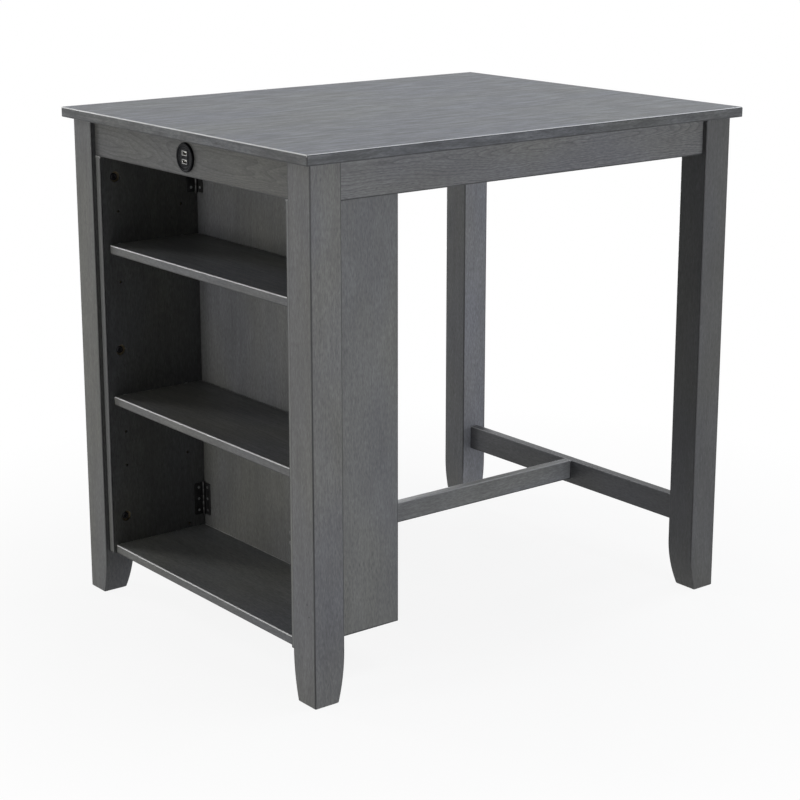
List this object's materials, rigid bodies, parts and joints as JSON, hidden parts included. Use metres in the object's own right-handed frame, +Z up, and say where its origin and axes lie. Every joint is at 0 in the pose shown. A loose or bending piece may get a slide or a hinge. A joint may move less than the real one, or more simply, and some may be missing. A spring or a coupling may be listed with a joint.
{
  "type": "kitchen table with storage cabinet",
  "caption": "Counter-height kitchen table with tapered-foot legs, an open cabinet with shelves under one end, a T-shaped stretcher and a round power outlet.",
  "frame": {"origin": "on the floor, below the centre of the table top", "axes": "+X along the table's length, away from the cabinet, which opens towards -X; +Y to the left of someone facing into the cabinet; +Z up"},
  "size_m": [0.965, 0.762, 0.9144],
  "materials": {
    "grey_wood": "satin, grey-stained wood grain",
    "black_steel": "satin black",
    "black_plastic": "satin",
    "socket_steel": "bright",
    "white_plastic": "matte",
    "circuit_board": "satin",
    "beech": "raw",
    "zinc_alloy": "die-cast",
    "zinc_steel": "zinc plated"
  },
  "bodies": {
    "frame": {"apron_dowels": "beech", "back_panel": "grey_wood", "bottom_shelf": "grey_wood", "bracket_screws": "zinc_steel", "cabinet_end_apron": "grey_wood", "corner_bracket_cabinet_left": "zinc_steel", "corner_bracket_cabinet_right": "zinc_steel", "corner_bracket_far_left": "zinc_steel", "corner_bracket_far_right": "zinc_steel", "cross_stretcher": "grey_wood", "far_end_apron": "grey_wood", "hanger_bolts": "zinc_steel", "hanger_nuts": "zinc_steel", "hanger_washers": "zinc_steel", "hinge_screws": "zinc_steel", "leg_cabinet_left": "grey_wood", "leg_cabinet_right": "grey_wood", "leg_far_left": "grey_wood", "leg_far_right": "grey_wood", "leg_inserts": "zinc_alloy", "long_apron_left": "grey_wood", "long_apron_right": "grey_wood", "long_stretcher": "grey_wood", "lower_hinge_left_back_leaf": "black_steel", "lower_hinge_left_pin": "black_steel", "lower_hinge_left_side_leaf": "black_steel", "lower_hinge_right_back_leaf": "black_steel", "lower_hinge_right_pin": "black_steel", "lower_hinge_right_side_leaf": "black_steel", "middle_shelf_supports": "zinc_steel", "outlet_back_cap": "black_plastic", "outlet_bezel": "black_plastic", "outlet_board": "circuit_board", "outlet_face": "black_plastic", "outlet_nut": "black_plastic", "panel_bolts": "zinc_steel", "shelf_cam_bolts": "zinc_steel", "shelf_cams": "zinc_alloy", "shelf_dowels": "beech", "side_panel_left": "grey_wood", "side_panel_right": "grey_wood", "stretcher_cam_bolts": "zinc_steel", "stretcher_cams": "zinc_alloy", "stretcher_dowels": "beech", "stretcher_screws": "zinc_steel", "table_top": "grey_wood", "top_angle_screws": "zinc_steel", "top_angles": "zinc_steel", "top_shelf_supports": "zinc_steel", "upper_hinge_left_back_leaf": "black_steel", "upper_hinge_left_pin": "black_steel", "upper_hinge_left_side_leaf": "black_steel", "upper_hinge_right_back_leaf": "black_steel", "upper_hinge_right_pin": "black_steel", "upper_hinge_right_side_leaf": "black_steel", "usb_shells": "socket_steel", "usb_tongues": "white_plastic"},
    "top_shelf": {"top_shelf": "grey_wood"},
    "middle_shelf": {"middle_shelf": "grey_wood"}
  },
  "joints": [
    {"name": "top_shelf_slide", "type": "slide", "parent": "frame", "child": "top_shelf", "axis": [-1, 0, 0], "range_m": [0, 0.2]},
    {"name": "middle_shelf_slide", "type": "slide", "parent": "frame", "child": "middle_shelf", "axis": [-1, 0, 0], "range_m": [0, 0.2]}
  ]
}
